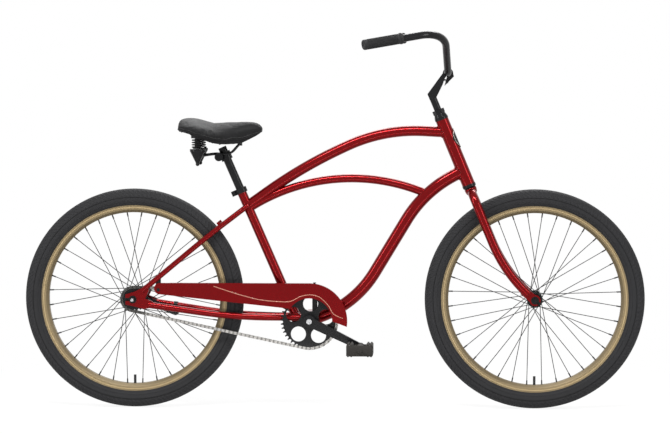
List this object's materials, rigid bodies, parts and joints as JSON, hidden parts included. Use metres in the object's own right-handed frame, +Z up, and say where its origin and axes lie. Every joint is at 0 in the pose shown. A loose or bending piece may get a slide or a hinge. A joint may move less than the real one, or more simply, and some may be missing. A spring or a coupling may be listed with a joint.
{
  "type": "beach cruiser bicycle",
  "caption": "Single-speed beach cruiser bicycle with curved tubes, wide tyres, swept handlebar, chain guard, coaster brake and sprung saddle; steers, rolls and pedals.",
  "frame": {"origin": "on the ground below the middle of the wheelbase", "axes": "+X forward, +Y to the rider's left, +Z up"},
  "size_m": [1.901, 0.7134, 1.1555],
  "materials": {
    "frame_paint": "deep candy red gloss paint",
    "guard_paint": "deep candy red gloss paint with a tan pinstripe",
    "badge": "polished",
    "black_metal": "gloss black",
    "springs": "gloss black wire",
    "bare_steel": "zinc plated",
    "chain_steel": "plated, lightly oiled",
    "rim": "olive bronze anodised",
    "spokes": "black plated",
    "tyre": "matte",
    "inner_tube": "matte",
    "grip": "matte, ribbed",
    "pedal": "matte black",
    "saddle_vinyl": "matte black vinyl",
    "saddle_pan": "matte black"
  },
  "bodies": {
    "frame": {"head_tube": "frame_paint", "top_tube": "frame_paint", "middle_tube": "frame_paint", "down_tube": "frame_paint", "seat_tube": "frame_paint", "bottom_bracket_shell": "frame_paint", "chain_stays": "frame_paint", "seat_stays": "frame_paint", "dropouts": "frame_paint", "frame_fittings": "frame_paint", "head_badge": "badge", "headset_cups": "black_metal", "bottom_bracket_cups": "bare_steel", "seat_clamp": "black_metal", "frame_screws": "bare_steel", "chain_guard": "guard_paint", "chain_guard_brackets": "black_metal", "rear_axle": "bare_steel", "rear_axle_nuts": "bare_steel", "brake_arm": "black_metal", "chain": "chain_steel"},
    "fork": {"steerer": "bare_steel", "fork_blade_right": "frame_paint", "fork_blade_left": "frame_paint", "fork_ends": "frame_paint", "headset_races": "black_metal", "front_axle": "bare_steel", "front_axle_nuts": "bare_steel", "stem": "black_metal", "stem_bolts": "bare_steel", "handlebar": "black_metal", "grip_right": "grip", "grip_left": "grip"},
    "front_wheel": {"front_tyre": "tyre", "front_inner_tube": "inner_tube", "front_rim": "rim", "front_spokes": "spokes", "front_hub": "black_metal"},
    "rear_wheel": {"rear_tyre": "tyre", "rear_inner_tube": "inner_tube", "rear_rim": "rim", "rear_spokes": "spokes", "rear_hub": "black_metal"},
    "driver": {"rear_sprocket": "bare_steel"},
    "crankset": {"crank_spindle": "bare_steel", "chainring": "black_metal", "crank_arm_right": "black_metal", "crank_arm_left": "black_metal", "crank_bolts": "bare_steel", "pedal_spindles": "bare_steel"},
    "right_pedal": {"pedal_right": "pedal"},
    "left_pedal": {"pedal_left": "pedal"},
    "seat_post": {"seat_post": "black_metal", "saddle_clamp": "black_metal", "saddle_rails": "black_metal", "spring_cups": "black_metal", "saddle_springs": "springs"},
    "saddle": {"saddle_base": "saddle_pan", "saddle_pad": "saddle_vinyl"}
  },
  "joints": [
    {"name": "steering", "type": "hinge", "parent": "frame", "child": "fork", "pos_m": [0.4112, 0, 0.68762], "axis": [-0.3827, 0, 0.9239], "range_deg": [-75, 75]},
    {"name": "front_wheel_spin", "type": "hinge", "parent": "fork", "child": "front_wheel", "pos_m": [0.614, 0, 0.3365], "axis": [0, 1, 0], "continuous": true},
    {"name": "rear_wheel_spin", "type": "hinge", "parent": "frame", "child": "rear_wheel", "pos_m": [-0.614, 0, 0.3365], "axis": [0, 1, 0], "continuous": true},
    {"name": "crank_spin", "type": "hinge", "parent": "frame", "child": "crankset", "pos_m": [-0.074, 0, 0.271], "axis": [0, 1, 0], "continuous": true, "deforming": ["chain"]},
    {"name": "driver_spin", "type": "hinge", "parent": "frame", "child": "driver", "pos_m": [-0.614, 0, 0.3365], "axis": [0, 1, 0], "continuous": true},
    {"name": "right_pedal_spin", "type": "hinge", "parent": "crankset", "child": "right_pedal", "pos_m": [0.08329, 0, 0.19429], "axis": [0, 1, 0], "continuous": true},
    {"name": "left_pedal_spin", "type": "hinge", "parent": "crankset", "child": "left_pedal", "pos_m": [-0.23129, 0, 0.34771], "axis": [0, 1, 0], "continuous": true},
    {"name": "seat_height", "type": "slide", "parent": "frame", "child": "seat_post", "axis": [-0.4004, 0, 0.9164], "range_m": [-0.07, 0.07]},
    {"name": "saddle_bounce", "type": "hinge", "parent": "seat_post", "child": "saddle", "pos_m": [-0.28894, 0, 0.81219], "axis": [0, -1, 0], "range_deg": [0, 4], "stiffness_Nm_per_rad": 850, "deforming": ["saddle_springs"]}
  ],
  "couplings": [
    {"joint": "driver_spin", "follows": "crank_spin", "ratio": 2.3333}
  ]
}
